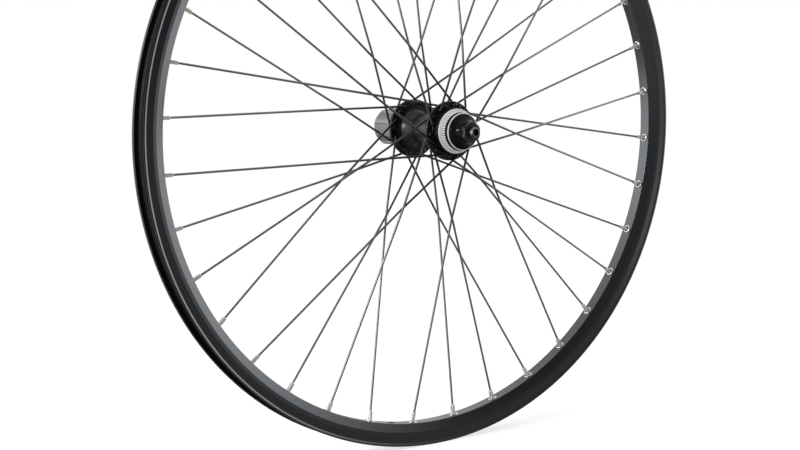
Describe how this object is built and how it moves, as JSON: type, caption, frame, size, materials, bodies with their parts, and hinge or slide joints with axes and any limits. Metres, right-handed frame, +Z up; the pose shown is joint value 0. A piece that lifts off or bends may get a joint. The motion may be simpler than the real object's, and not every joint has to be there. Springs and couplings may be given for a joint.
{
  "type": "bicycle rear wheel",
  "caption": "Spoked bicycle rear wheel without tyre: black double-wall rim, laced black spokes, disc-brake hub with splined rotor mount and a freewheeling splined cassette body.",
  "frame": {"origin": "centre of the wheel: on the axle, in the middle plane of the rim, halfway between the two axle ends", "axes": "+Y along the axle towards the drive side, so the brake side is at -Y; +Z up; +X to the right seen from the brake side, so a bicycle travels towards -X"},
  "size_m": [0.5709, 0.145, 0.571],
  "materials": {
    "black_anodised_rim": "black anodised, satin",
    "black_spoke": "black, satin",
    "plated_brass": "nickel plated, silver",
    "bright_eyelet": "bright pressed steel",
    "black_anodised_hub": "black anodised, semi-gloss",
    "machined_aluminium": "machined, silver",
    "bearing_steel": "ground steel",
    "grey_driver_steel": "grey plated, matt",
    "dark_axle_steel": "dark plated steel",
    "black_locknut": "black oxide",
    "black_rubber": "matt"
  },
  "bodies": {
    "axle": {"axle": "dark_axle_steel", "left_cone": "bearing_steel", "right_cone": "bearing_steel", "left_dust_boot": "black_rubber", "right_dust_ring": "bearing_steel", "left_spacer": "black_locknut", "right_spacer": "black_locknut", "left_locknut": "black_locknut", "right_locknut": "black_locknut"},
    "wheel": {"rim": "black_anodised_rim", "spoke_eyelets": "bright_eyelet", "spoke_nipples": "plated_brass", "left_outboard_spokes": "black_spoke", "right_outboard_spokes": "black_spoke", "left_inboard_spokes": "black_spoke", "right_inboard_spokes": "black_spoke", "hub_shell": "black_anodised_hub", "rotor_mount": "machined_aluminium", "left_bearing_cup": "bearing_steel", "left_bearing_balls": "bearing_steel", "freehub_core": "bearing_steel", "freehub_bolt": "bearing_steel", "freehub_bearing_cup": "bearing_steel", "right_bearing_balls": "bearing_steel", "freehub_inner_balls": "bearing_steel", "freehub_outer_balls": "bearing_steel", "pawl_spring": "bearing_steel", "freehub_inner_seal": "black_rubber"},
    "driver": {"freehub_driver": "grey_driver_steel", "freehub_outer_seal": "black_rubber"},
    "first_pawl": {"first_pawl": "bearing_steel"},
    "second_pawl": {"second_pawl": "bearing_steel"}
  },
  "joints": [
    {"name": "wheel_spin", "type": "hinge", "parent": "axle", "child": "wheel", "pos_m": [0, 0, 0], "axis": [0, -1, 0], "continuous": true},
    {"name": "freehub_spin", "type": "hinge", "parent": "wheel", "child": "driver", "pos_m": [0, 0.04325, 0], "axis": [0, -1, 0], "continuous": true},
    {"name": "first_pawl_swing", "type": "hinge", "parent": "wheel", "child": "first_pawl", "pos_m": [0.01101, 0.037, 0.00295], "axis": [0, 1, 0], "range_deg": [0, 14], "stiffness_Nm_per_rad": 0.02, "springref_deg": -17.19},
    {"name": "second_pawl_swing", "type": "hinge", "parent": "wheel", "child": "second_pawl", "pos_m": [-0.01101, 0.037, -0.00295], "axis": [0, 1, 0], "range_deg": [0, 14], "stiffness_Nm_per_rad": 0.02, "springref_deg": -17.19}
  ]
}
